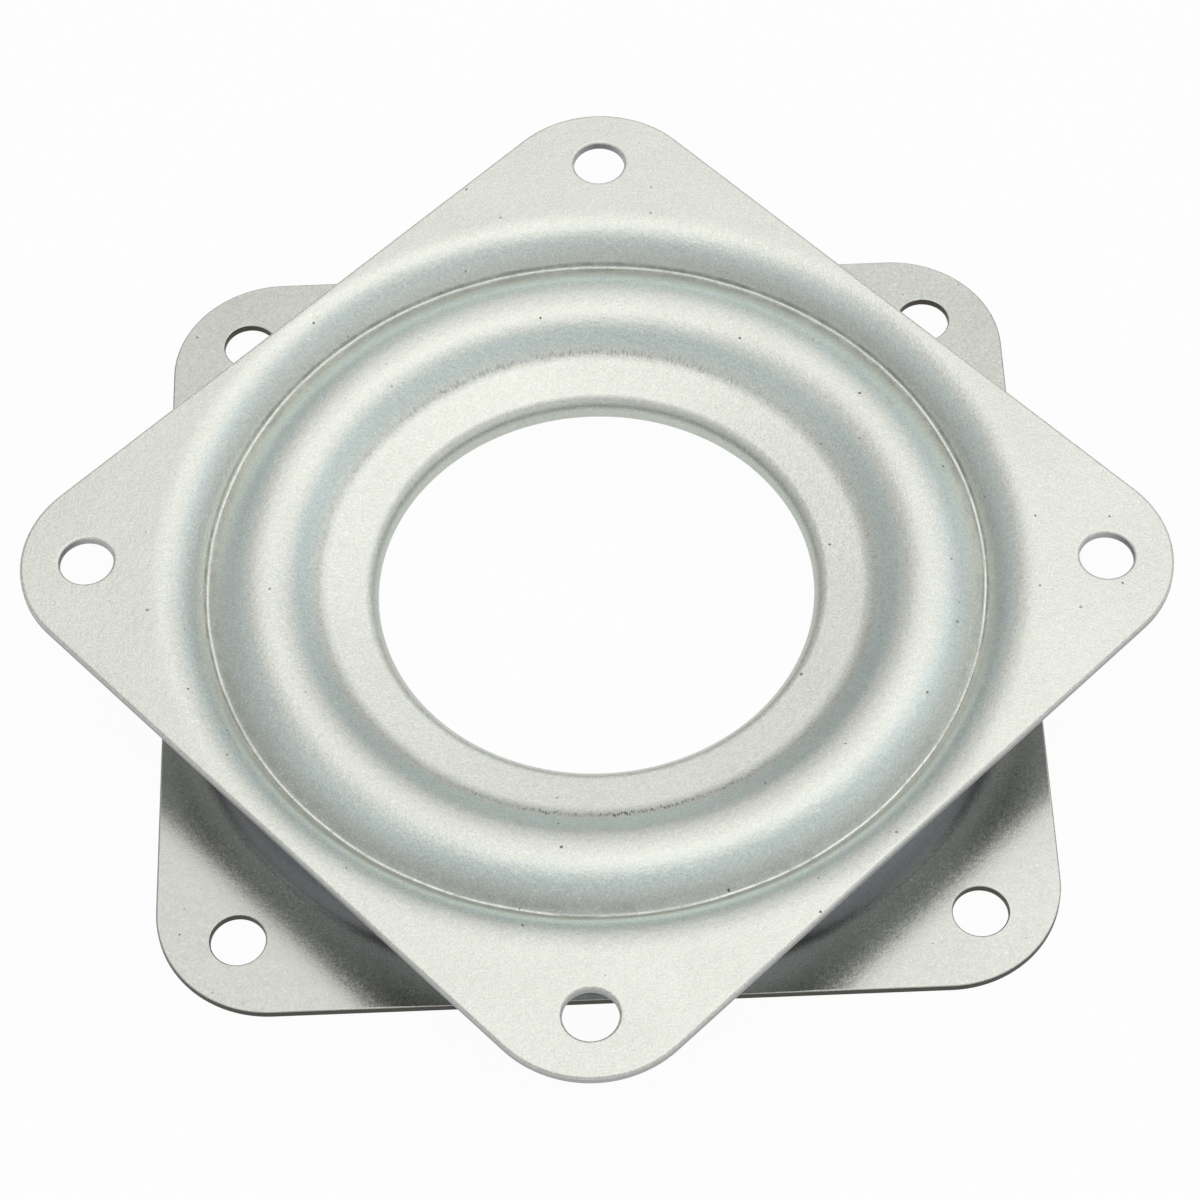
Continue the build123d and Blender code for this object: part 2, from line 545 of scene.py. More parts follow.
@dataclass(frozen=True)
class BallSteel(Finish):
    """Polished bearing steel with faint smears."""

    name: str = "ball_steel"
    colour: Colour = (0.62, 0.62, 0.61)
    smear_size: float = 1.2

    def shader(self, graph: Graph) -> Value:
        """Vary the colour and the roughness with the smears."""
        smear = graph.noise(graph.object_point(), self.smear_size, 3.0, 0.6)
        colour = graph.shaded(self.colour, 0.9 + smear * 0.2)
        return graph.metal({"Base Color": colour, "Roughness": 0.12 + smear * 0.16})


@dataclass(frozen=True)
class StudioFloor(Finish):
    """Plain white studio floor that keeps a faint shadow."""

    name: str = "studio_floor"
    colour: Colour = (0.95, 0.95, 0.95)
    seen_white: float = 0.96
    mirrored_white: float = 0.6

    def shader(self, graph: Graph) -> Value:
        """A matt floor that is mostly plain white to the camera and partly so in mirrors.

        Args:
            graph: Takes the nodes.

        Returns:
            The shader.
        """
        seen, mirrored, through = graph.rays()
        matt = graph.node("ShaderNodeBsdfDiffuse", inputs={"Color": (*self.colour, 1.0)})
        glow = graph.node("ShaderNodeEmission", inputs={"Color": WHITE, "Strength": 1.0})
        share = seen.greatest(through) * self.seen_white + mirrored * self.mirrored_white
        return graph.node("ShaderNodeMixShader", inputs={0: share, 1: matt, 2: glow})


# Meshes


def unit(vectors: np.ndarray) -> np.ndarray:
    """Rows divided by their lengths."""
    return vectors / np.linalg.norm(vectors, axis=1, keepdims=True)


def linked(name: str, data: bpy.types.ID) -> bpy.types.Object:
    """A new object in the scene, at the origin."""
    made = bpy.data.objects.new(name, data)
    bpy.context.scene.collection.objects.link(made)
    return made


class Face(Enum):
    """The two faces of a sheet, and where each lies in its thickness, as the layer attribute says."""

    OUTER = 0.0
    HIDDEN = 1.0


@dataclass
class Weld:
    """Patches of surface that become one closed mesh, with the normals that they were given.

    Each point also has a layer, from 0 on the sheet's outer face to 1 on its hidden one.
    """

    points: list[np.ndarray] = field(default_factory=list)
    normals: list[np.ndarray] = field(default_factory=list)
    faces: list[np.ndarray] = field(default_factory=list)
    layers: list[np.ndarray] = field(default_factory=list)
    count: int = 0

    def add(self, points: np.ndarray, normals: np.ndarray, faces: np.ndarray, layer: np.ndarray) -> None:
        """Add a patch.

        Args:
            points: Its points, n by 3, in millimetres.
            normals: Their unit normals, n by 3.
            faces: Its triangles or quads, as rows of point numbers.
            layer: Its points' layers.
        """
        self.points.append(points)
        self.normals.append(normals)
        self.layers.append(layer)
        self.faces.append(faces + self.count)
        self.count += len(points)

    def grid(self, points: np.ndarray, normals: np.ndarray, layer: np.ndarray) -> None:
        """Add a surface on a grid that closes round its first direction.

        Args:
            points: Points as rounds by steps by 3. Outside is where the steps' way crossed with
                the rounds' way points.
            normals: Normals in the same layout.
            layer: The layer of each step.
        """
        rounds, steps = points.shape[:2]
        here = np.arange(rounds)[:, None] * steps + np.arange(steps - 1)[None, :]
        there = np.roll(np.arange(rounds), -1)[:, None] * steps + np.arange(steps - 1)[None, :]
        quads = np.stack([here, here + 1, there + 1, there], axis=-1).reshape(-1, 4)
        self.add(points.reshape(-1, 3), normals.reshape(-1, 3), quads, np.tile(layer, rounds))

    def build(self, name: str, place: Matrix) -> bpy.types.Object:
        """Weld the patches where their points meet and make the object.

        Args:
            name: The object's name.
            place: Where the drawn points go. It is put into the mesh, so the object isn't moved.

        Returns:
            The object, at the origin.
        """
        points = np.concatenate(self.points)
        keys = np.round(points * WELD_STEPS_PER_MM).astype(np.int64)
        _, first, same = np.unique(keys, axis=0, return_index=True, return_inverse=True)
        faces = [face for patch in self.faces for face in same.reshape(-1)[patch].tolist()]
        mesh = bpy.data.meshes.new(name)
        mesh.from_pydata(points[first] * MM, [], faces, shade_flat=False)
        layer = mesh.attributes.new(LAYER, "FLOAT", "POINT")
        layer.data.foreach_set("value", np.concatenate(self.layers)[first].astype(np.float32))
        mesh.transform(place)
        turn = np.array(place.to_3x3())
        normals = np.concatenate(self.normals)[first] @ turn.T
        mesh.normals_split_custom_set_from_vertices(normals.astype(np.float32))
        return linked(name, mesh)


@dataclass(frozen=True)
class SectionLine:
    """The middle line of a bent sheet: points as (radius, height), headings and lengths."""

    points: np.ndarray
    heading: np.ndarray
    length: np.ndarray

    def side(self, distance: float) -> np.ndarray:
        """The line moved sideways: a positive distance is to the right, where the outer face is."""
        right = np.stack([np.sin(self.heading), -np.cos(self.heading)], axis=1)
        return self.points + distance * right

    def at(self, length: np.ndarray) -> SectionLine:
        """The same line at other lengths along it."""
        columns = [np.interp(length, self.length, column) for column in (*self.points.T, self.heading)]
        return SectionLine(np.stack(columns[:2], axis=1), columns[2], length)


@dataclass(frozen=True)
class BentSheet:
    """A bent sheet's section. Its outer face's corners are rows of radius, height and inside bend."""

    corners: np.ndarray
    thickness: float
    max_fill: float = 0.97
    fine_step: float = 0.02

    def middle(self) -> np.ndarray:
        """The corners moved to the middle of the sheet: each along its mitre, to the left.

        Returns:
            The corners, as (radius, height).
        """
        outer = self.corners[:, :2]
        ways = unit(np.diff(outer, axis=0))
        before = np.vstack([ways[:1], ways])
        after = np.vstack([ways, ways[-1:]])
        across = np.stack([-(before + after)[:, 1], (before + after)[:, 0]], axis=1)
        spread = 1 + (before * after).sum(axis=1, keepdims=True)
        return outer + self.thickness / 2 * across / spread

    def line(self) -> SectionLine:
        """The middle line with its bends rounded.

        A bend of radius R that turns by t starts R tan(t / 2) before its corner. The heading turns
        evenly along it, and the points are the running sum of the steps along the heading.

        Returns:
            The line, finely and evenly sampled.
        """
        corners = self.middle()
        steps = np.diff(corners, axis=0)
        runs = np.linalg.norm(steps, axis=1)
        heading = np.unwrap(np.arctan2(steps[:, 1], steps[:, 0]) % (2 * math.pi))
        turn = np.diff(heading)
        share = np.tan(np.abs(turn) / 2)
        reach = (self.corners[1:-1, 2] + self.thickness / 2) * share
        others = np.pad(reach, 1)
        before = np.maximum(runs[:-1] / 2, runs[:-1] - others[:-2])
        after = np.maximum(runs[1:] / 2, runs[1:] - others[2:])
        reach = np.minimum(reach, self.max_fill * np.minimum(before, after))
        arcs = reach / share * np.abs(turn)
        straights = runs - np.pad(reach, (1, 0)) - np.pad(reach, (0, 1))
        pieces = np.stack([straights, np.append(arcs, 0.0)], axis=1).ravel()
        marks = np.concatenate([[0.0], np.cumsum(pieces)])[:-1]
        headings = np.repeat(heading, 2)
        count = math.ceil(marks[-1] / self.fine_step)
        middles = (np.arange(count) + 0.5) * marks[-1] / count
        way = np.interp(middles, marks, headings)
        steps = np.stack([np.cos(way), np.sin(way)], axis=1) * marks[-1] / count
        points = corners[0] + np.concatenate([[[0.0, 0.0]], np.cumsum(steps, axis=0)])
        length = np.linspace(0.0, marks[-1], count + 1)
        return SectionLine(points, np.interp(length, marks, headings), length)


@dataclass(frozen=True)
class CutRim:
    """Profile of a punched edge, rounded over by the punch on one face and by plating on both."""

    upper: tuple[float, float] = (0.26, 0.2)
    lower: tuple[float, float] = (0.14, 0.12)
    steps: int = 7

    def profile(self, thickness: float) -> tuple[np.ndarray, np.ndarray]:
        """The profile from the upper face, round the edge, to the lower face.

        Each rounding is a quarter of an ellipse: inset w (1 - sin a) and depth h (1 - cos a).

        Args:
            thickness: The sheet's thickness.

        Returns:
            Points as (inset, height from the upper face), and normals as (outward, up).
        """
        angle = np.linspace(0, math.pi / 2, self.steps)
        points, normals = [], []
        for (width, depth), way in ((self.upper, 1), (self.lower, -1)):
            sine, cosine = np.sin(angle), np.cos(angle)
            across = np.stack([width * (1 - sine), -depth * (1 - cosine) * way], axis=1)
            normal = np.stack([sine * depth, cosine * width * way], axis=1)
            points.append(across[::way])
            normals.append(normal[::way])
        points[1][:, 1] -= thickness
        return np.concatenate(points), unit(np.concatenate(normals))


@dataclass(frozen=True)
class Loop:
    """A closed path in the plane of the flange: points and the way out of the metal at each."""

    points: np.ndarray
    out: np.ndarray

    @classmethod
    def circle(cls, radius: float, count: int, centre: tuple[float, float] = (0.0, 0.0)) -> Loop:
        """A circle with metal inside it, followed anticlockwise."""
        angle = np.arange(count) * (2 * math.pi / count)
        out = np.stack([np.cos(angle), np.sin(angle)], axis=1)
        return cls(np.array(centre) + radius * out, out)

    @classmethod
    def rounded_square(cls, side: float, corner: float, arc_points: int, run_points: int) -> Loop:
        """A square with round corners and metal inside it, followed anticlockwise.

        Args:
            side: The square's side.
            corner: The corners' radius.
            arc_points: Points on each corner.
            run_points: Points on each straight run, between the corners' last points.

        Returns:
            The loop.
        """
        angle = np.linspace(0, math.pi / 2, arc_points)
        arc = np.stack([np.cos(angle), np.sin(angle)], axis=1)
        inner = side / 2 - corner
        along = np.linspace(inner, -inner, run_points + 2)[1:-1]
        run = np.stack([along, np.full(run_points, side / 2)], axis=1)
        quarter = np.concatenate([inner + corner * arc, run])
        out = np.concatenate([arc, np.tile([0.0, 1.0], (run_points, 1))])
        spins = [np.array([[c, s], [-s, c]]) for c, s in ((1, 0), (0, 1), (-1, 0), (0, -1))]
        return cls(np.concatenate([quarter @ q for q in spins]), np.concatenate([out @ q for q in spins]))

    def inset(self, distance: float) -> np.ndarray:
        """The points moved into the metal."""
        return self.points - distance * self.out

    def hole(self) -> Loop:
        """The same path with the metal outside it."""
        return Loop(self.points[::-1], -self.out[::-1])


# Pieces


@dataclass
class PressedPlate:
    """One pressed plate: square flange with four screw holes round a turned dish.

    The section is drawn as (radius, height) with height 0 halfway up the bearing and the outer
    face up, and is then turned about the bearing's axis. Sizes are in millimetres.
    """

    name: str
    turn: float
    turn_axis: str
    side: float = 70.0
    corner: float = 9.1
    sheet: float = 0.8
    half_height: float = 4.5
    hole_inset: float = 6.4
    hole_radius: float = 2.15
    ball_circle: float = 26.55
    ball_radius: float = 3.0
    ball_clearance: float = 0.04
    bead_bend: float = 4.7
    crease_offset: float = 4.4
    crease_drop: float = 1.72
    crease_bend: float = 0.15
    knee_offset: float = 1.55
    knee_bend: float = 4.3
    foot_offset: float = 4.75
    foot_drop: float = 1.95
    foot_bend: float = 3.0
    ring_width: float = 4.35
    curl_clearance: float = 0.15
    curl_side_clearance: float = 0.6
    curl_overlap: float = 2.0
    curl_bend_ratio: float = 0.9
    join_radius: float = 34.5
    nose: float = 0.14
    ridge_height: float = 0.15
    ridge_width: float = 0.1
    longest_step: float = 0.4
    largest_turn: float = math.radians(4.0)
    crease_step: float = 0.042
    ridge_lean: tuple[float, float] = (-0.3, 0.95)
    nose_steps: int = 13
    rounds: int = 360
    hole_points: int = 56
    corner_points: int = 26
    run_points: int = 30
    flange_rounds: tuple[float, ...] = (34.9, 35.4)
    flange_margin: float = 0.45
    waver: tuple[tuple[float, int, float], ...] = ((0.03, 5, 0.4), (0.025, 11, 1.9), (0.02, 23, 0.0))
    waver_width: float = 0.8
    kink_height: float = 0.09
    kink_bearing: float = math.radians(222.5)
    kink_width: float = math.radians(2.2)
    rim: CutRim = CutRim()

    @property
    def crest(self) -> float:
        """Height of the bead's crest on the outer face."""
        return self.sheet + self.ball_clearance + self.ball_radius

    @property
    def crease_radius(self) -> float:
        """Radius of the crease between the bead and the wall."""
        return self.ball_circle + self.crease_offset

    @property
    def foot_radius(self) -> float:
        """Radius of the bead's inner foot."""
        return self.ball_circle - self.foot_offset

    @property
    def hole_wall(self) -> float:
        """Radius of the centre hole in the upper plate."""
        return self.foot_radius - self.ring_width

    @property
    def lower_edge(self) -> float:
        """Radius of the lower plate's inner edge."""
        return self.hole_wall + self.sheet + self.curl_side_clearance

    @property
    def slot_half(self) -> float:
        """Half the height of the slot inside the curl."""
        return self.sheet / 2 + self.curl_clearance

    def shoulder_offset(self, offset: float, drop: float) -> float:
        """How far from the ball circle a flank that is tangent to the bead's arc meets the crest line.

        Args:
            offset: The flank's start, measured from the ball circle.
            drop: The flank's start, measured down from the crest.

        Returns:
            The offset of the bead's shoulder corner.
        """
        radius = self.bead_bend + self.sheet
        height = radius - drop
        tilt = math.atan2(offset, height) - math.acos(radius / math.hypot(offset, height))
        return radius * math.tan(tilt / 2)

    @property
    def crease_corner(self) -> tuple[float, float]:
        """The crease on the outer face, before it is rounded."""
        return self.crease_radius, self.crest - self.crease_drop

    def inner_corners(self) -> list[tuple[float, float, float]]:
        """Section corners and bends from the bead's inner shoulder to the end of the sheet."""
        raise NotImplementedError

    def place(self) -> Matrix:
        """Where the drawn plate goes in the frame: lifted, and turned about one axis."""
        lift = Matrix.Translation((0, 0, self.half_height * MM))
        return lift @ Matrix.Rotation(self.turn, 4, self.turn_axis)

    def section(self) -> SectionLine:
        """The section's middle line, from far out on the flange in to the end of the sheet.

        Returns:
            The line, finely sampled.
        """
        outer_shoulder = self.ball_circle + self.shoulder_offset(self.crease_offset, self.crease_drop)
        corners = [
            (self.side, self.half_height, 0.0),
            (self.crease_radius + self.knee_offset, self.half_height, self.knee_bend),
            (*self.crease_corner, self.crease_bend),
            (outer_shoulder, self.crest, self.bead_bend),
            *self.inner_corners(),
        ]
        return BentSheet(np.array(corners), self.sheet).line()

    def stations(self, line: SectionLine) -> SectionLine:
        """The section at chosen lengths: closer where it bends, and closest along the crease.

        Each step costs the most of its length over the longest step, its turn over the largest
        turn, and near the crease its length over the crease step. Stations lie at equal costs.

        Args:
            line: The finely sampled line.

        Returns:
            The line at its stations.
        """
        step = np.diff(line.length)
        turn = np.abs(np.diff(line.heading))
        away = (line.points[:-1, 0] - self.crease_radius) / (4 * self.ridge_width)
        near = step / self.crease_step * np.exp(-(away**4))
        cost = np.maximum(np.maximum(step / self.longest_step, turn / self.largest_turn), near)
        total = np.concatenate([[0.0], np.cumsum(cost)])
        even = np.linspace(0.0, total[-1], math.ceil(total[-1]) + 1)
        return line.at(np.interp(even, total, line.length))

    def surface(self) -> tuple[np.ndarray, np.ndarray, np.ndarray]:
        """Outline of the dish's section: in along the outer face, round the sheet's end, and back.

        The thin ridge left in the crease by the press tool is raised on the outer face. Normals are
        square to the steps of the finished outline.

        Returns:
            Points as (radius, height), unit normals and layers.
        """
        whole = self.section()
        line = self.stations(whole.at(whole.length[whole.length < whole.length[-1] - self.nose]))
        half = self.sheet / 2
        outer, hidden = line.side(half), line.side(-half)[::-1]
        crease = line.length[np.argmin(np.hypot(*(outer - self.crease_corner).T))]
        lift = self.ridge_height * np.exp(-(((line.length - crease) / self.ridge_width) ** 2))
        outer = outer + lift[:, None] * np.array(self.ridge_lean)
        angle = np.linspace(0, math.pi, self.nose_steps)[1:-1, None]
        right = np.array([math.sin(line.heading[-1]), -math.cos(line.heading[-1])])
        ahead = np.array([math.cos(line.heading[-1]), math.sin(line.heading[-1])])
        spread = np.sign(np.round(np.cos(angle), 9)) * (half - self.nose)
        cap = line.points[-1] + spread * right + self.nose * (np.cos(angle) * right + np.sin(angle) * ahead)
        outline = np.concatenate([outer, cap, hidden])
        layer = np.concatenate([np.zeros(len(outer)), angle[:, 0] / math.pi, np.ones(len(hidden))])
        steps = np.gradient(outline, axis=0)
        normals = unit(np.stack([steps[:, 1], -steps[:, 0]], axis=1))
        keep = outline[:, 0] < self.join_radius
        join = np.array([self.join_radius])
        top = np.column_stack([join, self.half_height - self.dip(join)])
        top_normal = self.dip_normal(join)
        points = np.concatenate([top, outline[keep], top - [[0.0, self.sheet]]])
        layer = np.concatenate([[0.0], layer[keep], [1.0]])
        return points, np.concatenate([top_normal, normals[keep], -top_normal]), layer

    def dip(self, radius: np.ndarray) -> np.ndarray:
        """How far the flange still lies below its flat top, on the last of the knee.

        Args:
            radius: Distances from the axis.

        Returns:
            The depth at each.
        """
        outer = self.section().side(self.sheet / 2)
        knee = outer[outer[:, 0] > self.crease_radius + self.knee_offset][::-1]
        return self.half_height - np.interp(radius, knee[:, 0], knee[:, 1])

    def dip_normal(self, radius: np.ndarray) -> np.ndarray:
        """Unit normals of the flange's top, square to the dip's slope.

        Args:
            radius: Distances from the axis.

        Returns:
            The normals, as (away from the axis, up).
        """
        step = 0.05
        slope = (self.dip(radius + step) - self.dip(radius - step)) / (2 * step)
        return unit(np.column_stack([slope, np.ones(len(radius))]))

    def wander(self, angle: np.ndarray) -> np.ndarray:
        """How far the pressed crease strays from a true circle: slow waves and one small kink."""
        waves = sum(height * np.sin(count * angle + start) for height, count, start in self.waver)
        from_kink = (angle - self.kink_bearing + math.pi) % (2 * math.pi) - math.pi
        return waves + self.kink_height * np.exp(-((from_kink / self.kink_width) ** 2))

    def mesh(self) -> bpy.types.Object:
        """Build the plate.

        Returns:
            The plate's object, in its place in the frame.
        """
        weld = Weld()
        self._turn_dish(weld)
        edge = Loop.rounded_square(self.side, self.corner, self.corner_points, self.run_points)
        spacing = self.side / 2 - self.hole_inset
        centres = [(spacing * sx, spacing * sy) for sx in (1, -1) for sy in (1, -1)]
        holes = [Loop.circle(self.hole_radius, self.hole_points, centre).hole() for centre in centres]
        rim, rim_normal = self.rim.profile(self.sheet)
        for loop in (edge, *holes):
            self._cut_edge(weld, loop, rim, rim_normal)
        for face, inset in ((Face.OUTER, rim[0, 0]), (Face.HIDDEN, rim[-1, 0])):
            self._flat(weld, [edge.inset(inset), *(hole.inset(inset)[::-1] for hole in holes)], face)
        return weld.build(self.name, self.place())

    def _turn_dish(self, weld: Weld) -> None:
        """Turn the section about the axis: x = r cos a, y = r sin a, z = height.

        Args:
            weld: Takes the surface.
        """
        points, normals, layer = (column[::-1] for column in self.surface())
        angle = np.arange(self.rounds) * (2 * math.pi / self.rounds)
        near = np.exp(-(((points[:, 0] - self.crease_radius) / self.waver_width) ** 2))
        near *= points[:, 0] < self.join_radius
        radius = points[None, :, 0] + self.wander(angle)[:, None] * near[None, :]
        cosine, sine = np.cos(angle)[:, None], np.sin(angle)[:, None]
        height = np.broadcast_to(points[None, :, 1], radius.shape)
        up = np.broadcast_to(normals[None, :, 1], radius.shape)
        grid = np.stack([radius * cosine, radius * sine, height], axis=-1)
        turned = np.stack([normals[None, :, 0] * cosine, normals[None, :, 0] * sine, up], axis=-1)
        weld.grid(grid, turned, layer)

    def _cut_edge(self, weld: Weld, loop: Loop, rim: np.ndarray, rim_normal: np.ndarray) -> None:
        """Carry the cut edge's profile along a loop.

        Args:
            weld: Takes the surface.
            loop: The flange's edge or a hole.
            rim: The profile's points, as (inset, height from the upper face).
            rim_normal: Their normals, as (outward, up).
        """
        flat = loop.points[:, None, :] - loop.out[:, None, :] * rim[None, :, :1]
        height = self.half_height - self.dip(np.hypot(*flat.reshape(-1, 2).T)).reshape(flat.shape[:2])
        points = np.concatenate([flat, (height + rim[None, :, 1])[..., None]], axis=-1)
        up = np.broadcast_to(rim_normal[None, :, 1:], (*flat.shape[:2], 1))
        normals = np.concatenate([loop.out[:, None, :] * rim_normal[None, :, :1], up], axis=-1)
        weld.grid(points, normals, -rim[:, 1] / self.sheet)

    def _flat(self, weld: Weld, loops: list[np.ndarray], face: Face) -> None:
        """Fill one face of the flange with the triangles that lie in its edge's loop and no other.

        Args:
            weld: Takes the triangles.
            loops: The edge and the holes, inset by their rounding, all anticlockwise.
            face: Which face it is. The outer one faces up and the hidden one down.
        """
        facing = 1 if face is Face.OUTER else -1
        loops = [*loops, Loop.circle(self.join_radius, self.rounds).points]
        extra = np.concatenate([Loop.circle(radius, self.rounds).points for radius in self.flange_rounds])
        extra = extra[np.abs(extra).max(axis=1) < self.side / 2 - self.flange_margin]
        points = np.concatenate([*loops, extra])
        ends = np.cumsum([len(loop) for loop in loops]).tolist()
        outlines = [list(range(start, end)) for start, end in zip([0, *ends], ends)]
        filled = delaunay_2d_cdt([Vector(point) for point in points], [], outlines, 0, MERGE_DISTANCE)
        triangles = [triangle for triangle, within in zip(filled[2], filled[5]) if list(within) == [0]]
        faces = np.array([given[0] for given in filled[3]])[np.array(triangles)][:, ::facing]
        radius = np.hypot(*points.T)
        height = self.half_height - self.dip(radius) - self.sheet * face.value
        side, up = self.dip_normal(radius).T
        normals = np.column_stack([points / radius[:, None] * side[:, None], up]) * facing
        weld.add(np.column_stack([points, height]), normals, faces, np.full(len(points), face.value))


@dataclass
class UpperPlate(PressedPlate):
    """The plate on top, whose lip is curled round the lower plate's inner edge."""

    turn: float = math.radians(42.7)
    turn_axis: str = "Z"

    def inner_corners(self) -> list[tuple[float, float, float]]:
        """From the bead's inner shoulder, over the foot and the ring, to the end of the curl.

        Returns:
            Corners as (radius, height, inside bend).
        """
        foot_height = self.crest - self.foot_drop
        curl_half = self.slot_half + self.sheet
        over_edge = curl_half + self.curl_clearance / 2
        fall = (foot_height - over_edge) / (self.foot_radius - self.lower_edge)
        lip_top = over_edge - fall * (self.lower_edge - self.hole_wall)
        shoulder = self.ball_circle - self.shoulder_offset(self.foot_offset, self.foot_drop)
        curl_bend = self.curl_bend_ratio * self.slot_half
        return [
            (shoulder, self.crest, self.bead_bend),
            (self.foot_radius, foot_height, self.foot_bend),
            (self.hole_wall, lip_top, curl_bend),
            (self.hole_wall, -curl_half, curl_bend),
            (self.lower_edge + self.curl_overlap, -curl_half, 0.0),
        ]


@dataclass
class LowerPlate(PressedPlate):
    """The plate below, upside down, whose inner edge is a flat landing inside the curl."""

    turn: float = math.pi
    turn_axis: str = "X"
    landing_angle: float = math.radians(53.0)
    landing_clearance: float = 0.22
    landing_bend: float = 0.6

    def inner_corners(self) -> list[tuple[float, float, float]]:
        """From the bead's inner shoulder, which closes round the balls, to the landing's edge.

        Returns:
            Corners as (radius, height, inside bend).
        """
        flank = self.ball_radius + self.landing_clearance + self.sheet
        at_centre = self.ball_circle - flank / math.sin(self.landing_angle)
        slope = math.tan(self.landing_angle)
        return [
            (at_centre + self.crest / slope, self.crest, self.crest - self.sheet),
            (at_centre + self.sheet / 2 / slope, self.sheet / 2, self.landing_bend),
            (self.lower_edge, self.sheet / 2, 0.0),
        ]


# Studio


@dataclass(frozen=True)
class Softbox:
    """A soft lamp at a bearing and height round the object, aimed at its middle.

    Its brightness is what the lamp looks like in a mirror, where 1 is white.
    """

    name: str
    bearing: float
    elevation: float
    brightness: float
    tint: Colour = (1.0, 1.0, 1.0)
    width: float = 0.5
    height: float = 0.5
    distance: float = 1.0

    def build(self) -> bpy.types.Object:
        """Make the lamp. Bearing 0 is in front, on -Y, and 90 is on the right.

        Returns:
            The lamp's object.
        """
        light = bpy.data.lights.new(self.name, "AREA")
        light.shape = "RECTANGLE"
        light.size, light.size_y = self.width, self.height
        light.energy = math.pi * self.width * self.height * self.brightness
        light.color = self.tint
        lamp = linked(self.name, light)
        side, lift = math.radians(self.bearing), math.radians(self.elevation)
        away = Vector((math.sin(side) * math.cos(lift), -math.cos(side) * math.cos(lift), math.sin(lift)))
        lamp.location = away * self.distance
        lamp.rotation_mode = "QUATERNION"
        lamp.rotation_quaternion = away.to_track_quat("Z", "Y")
        return lamp


@dataclass(frozen=True)
class PhotoCamera:
    """The camera at the photograph's viewing angle, aimed at the top face of the upper plate."""

    elevation: float = math.radians(56.63)
    roll: float = math.radians(-2.24)
    distance: float = 307.6 * MM
    aim: tuple[float, float, float] = (0.26 * MM, -4.0 * MM, 9.0 * MM)
    focal_length: float = 117.33
    sensor: float = 36.0

    def build(self) -> bpy.types.Object:
        """Make the camera and make it the scene's own.

        Returns:
            The camera's object.
        """
        data = bpy.data.cameras.new("photo_camera")
        data.lens, data.sensor_width = self.focal_length, self.sensor
        data.clip_start, data.clip_end = 0.01, 20.0
        camera = linked("photo_camera", data)
        forward = Vector((0, math.cos(self.elevation), -math.sin(self.elevation)))
        up = Vector((0, math.sin(self.elevation), math.cos(self.elevation)))
        right = Vector((1, 0, 0))
        across = right * math.cos(self.roll) + up * math.sin(self.roll)
        upright = up * math.cos(self.roll) - right * math.sin(self.roll)
        place = Matrix((across, upright, -forward)).transposed().to_4x4()
        place.translation = Vector(self.aim) - forward * self.distance
        camera.matrix_world = place
        bpy.context.scene.camera = camera
        return camera


@dataclass(frozen=True)
class Studio:
    """Floor, lamps, surroundings and camera."""

    floor_half: float = 1.5
    horizon: Colour = (0.13, 0.13, 0.13)
    ceiling_left: Colour = (0.37, 0.378, 0.382)
    ceiling_right: Colour = (0.655, 0.67, 0.678)
    mirrored_white: float = 0.1
    lamps: tuple[Softbox, ...] = (
        Softbox("top_softbox", 180.0, 85.0, 0.52, WARM_LIGHT),
        Softbox("back_softbox_high", 180.0, 72.0, 0.34, WARM_LIGHT),
        Softbox("back_softbox_middle", 180.0, 52.0, 0.35, WARM_LIGHT),
        Softbox("back_softbox_low", 180.0, 30.0, 0.15),
        Softbox("right_softbox", 130.0, 55.0, 0.53),
        Softbox("left_softbox", 270.0, 60.0, 0.18),
    )

    def build(self) -> None:
        """Make everything round the object."""
        PhotoCamera().build()
        for lamp in self.lamps:
            lamp.build()
        self._surroundings()
        self._floor()
        bpy.context.scene.view_settings.view_transform = "Standard"

    def _surroundings(self) -> None:
        """A dim horizon below a ceiling that brightens to the right. To the camera, both are white."""
        world = bpy.data.worlds.new("studio_surround")
        bpy.context.scene.world = world
        graph = Graph(world)
        across, _, height = graph.parts(graph.node("ShaderNodeTexCoord", output="Generated"))
        ceiling = graph.mix(across * 0.5 + 0.5, self.ceiling_left, self.ceiling_right)
        colour = graph.mix(height.ramp(0.15, 0.32), self.horizon, ceiling)
        around = graph.node("ShaderNodeBackground", inputs={"Color": colour, "Strength": 1.0})
        white = graph.node("ShaderNodeBackground", inputs={"Color": WHITE, "Strength": 1.0})
        seen, mirrored, through = graph.rays()
        share = seen.greatest(through) + mirrored * self.mirrored_white
        both = graph.node("ShaderNodeMixShader", inputs={0: share, 1: around, 2: white})
        graph.surface(both, "ShaderNodeOutputWorld")

    def _floor(self) -> None:
        """Plain floor under the object."""
        half = self.floor_half
        mesh = bpy.data.meshes.new("floor")
        corners = [(-half, -half, 0), (half, -half, 0), (half, half, 0), (-half, half, 0)]
        mesh.from_pydata(corners, [], [(0, 1, 2, 3)])
        mesh.materials.append(StudioFloor().build())
        linked("floor", mesh)


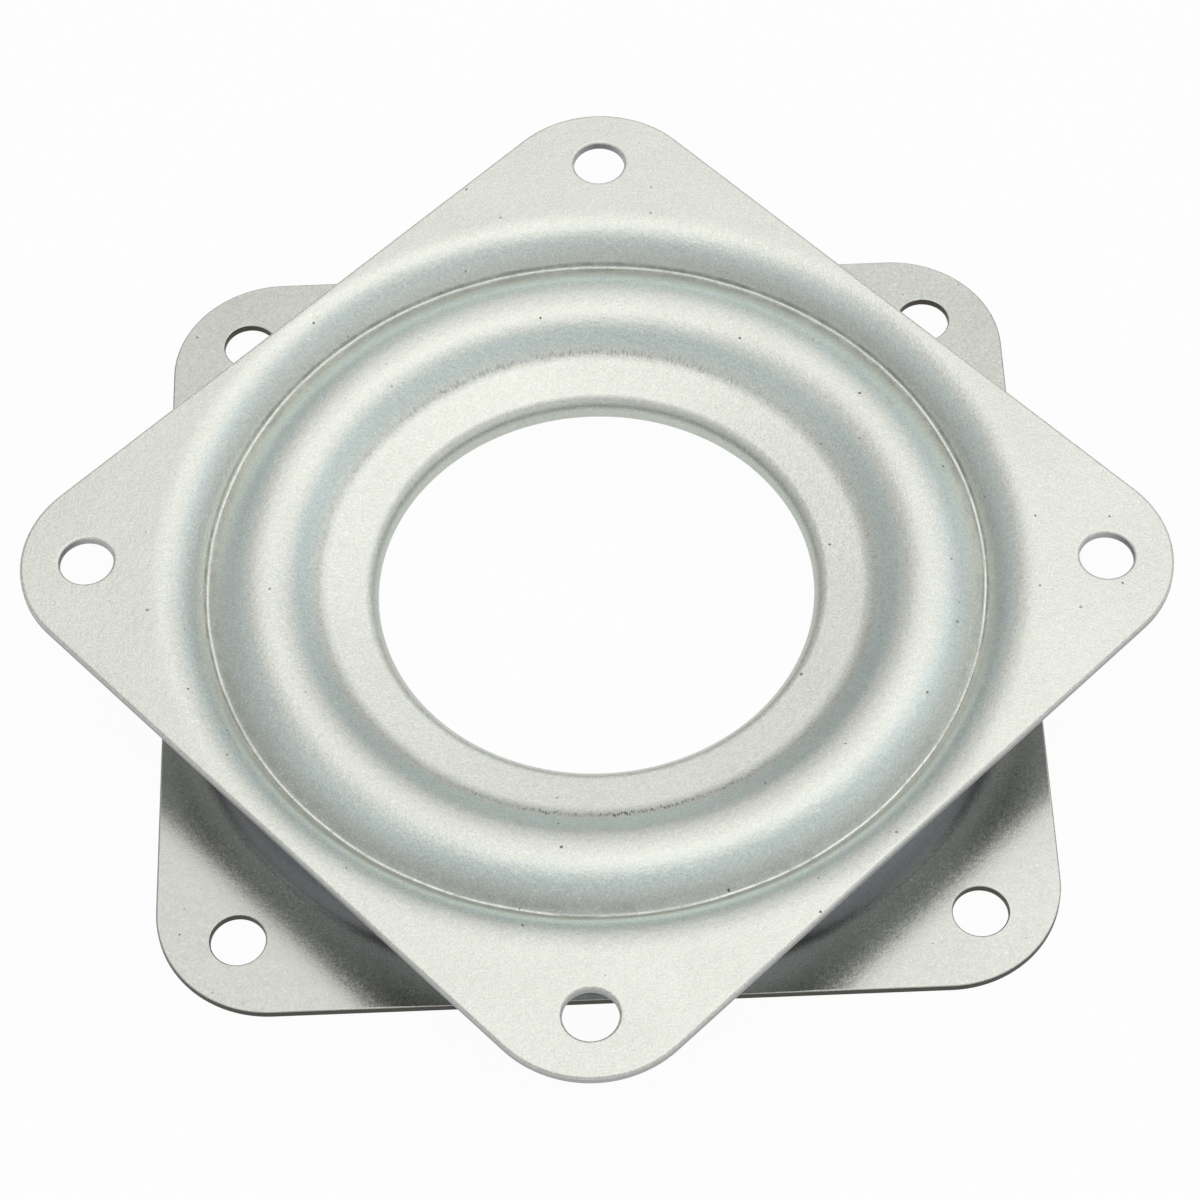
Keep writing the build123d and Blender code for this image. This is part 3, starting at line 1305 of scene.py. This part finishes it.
@dataclass
class Bearing:
    """The whole bearing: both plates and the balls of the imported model, dressed."""

    frame: dict
    upper: UpperPlate = field(default_factory=lambda: UpperPlate("upper_plate_pressed"))
    lower: LowerPlate = field(default_factory=lambda: LowerPlate("lower_plate_pressed"))

    def upper_zinc(self) -> PressedZinc:
        """The upper plate's finish: bright on top, with painted shade on the hidden face.

        Returns:
            The finish.
        """
        return PressedZinc(
            name="upper_plate_zinc",
            plate=self.upper,
            body=(0.82, 0.83, 0.77),
            edge=(0.53, 0.52, 0.53),
            # Painted shade on the underside.
            hidden=(0.49, 0.5, 0.54),
            roughness=0.37,
            grain=0.024,
            foot_marks=1.0,
            pits=0.2,
            pit_spacing=3.2,
        )

    def lower_zinc(self) -> PressedZinc:
        """The lower plate's finish: smoother and darker, with a dark sheared edge and painted shade on its
        top face where the upper plate covers it.

        Returns:
            The finish.
        """
        return PressedZinc(
            name="lower_plate_zinc",
            plate=self.lower,
            body=(0.64, 0.648, 0.605),
            edge=(0.09, 0.08, 0.07),
            # Painted shade on the top face, where the upper plate covers it.
            hidden=(0.3, 0.3, 0.33),
            underside_shade_within=34.45,
            roughness=0.25,
            grain=0.006,
            foot_marks=0.0,
            pits=0.3,
            pit_spacing=2.5,
        )

    def build(self) -> None:
        """Build, dress and place every piece."""
        self._plate(self.upper, "upper_plate", self.upper_zinc())
        self._plate(self.lower, "lower_plate", self.lower_zinc())
        steel = BallSteel().build()
        balls = [name for name in self.frame["nodes"] if name.startswith("ball_")]
        for name in sorted(balls):
            ball = self.frame["nodes"][name]
            ball.data.materials.clear()
            ball.data.materials.append(steel)
        LOG.info("dressed %d balls", len(balls))

    def _plate(self, plate: PressedPlate, node: str, finish: PressedZinc) -> None:
        """Build one plate and let it stand for its node.

        Args:
            plate: The plate.
            node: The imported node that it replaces.
            finish: Its finish, whose name is also its slot's.
        """
        made = plate.mesh()
        made.data.materials.append(finish.build())
        bodies = self.frame["record"]["behaviour"]["bodies"]
        rides = next(body for body, members in bodies.items() if node in members)
        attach(made, rides)
        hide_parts(node)
        LOG.info("%s rides on %s: %d faces", made.name, rides, len(made.data.polygons))


def main() -> None:
    """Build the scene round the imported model."""
    logging.basicConfig(level=logging.INFO, format="%(message)s")
    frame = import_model()
    Studio().build()
    Bearing(frame).build()


if __name__ == "__main__":
    main()
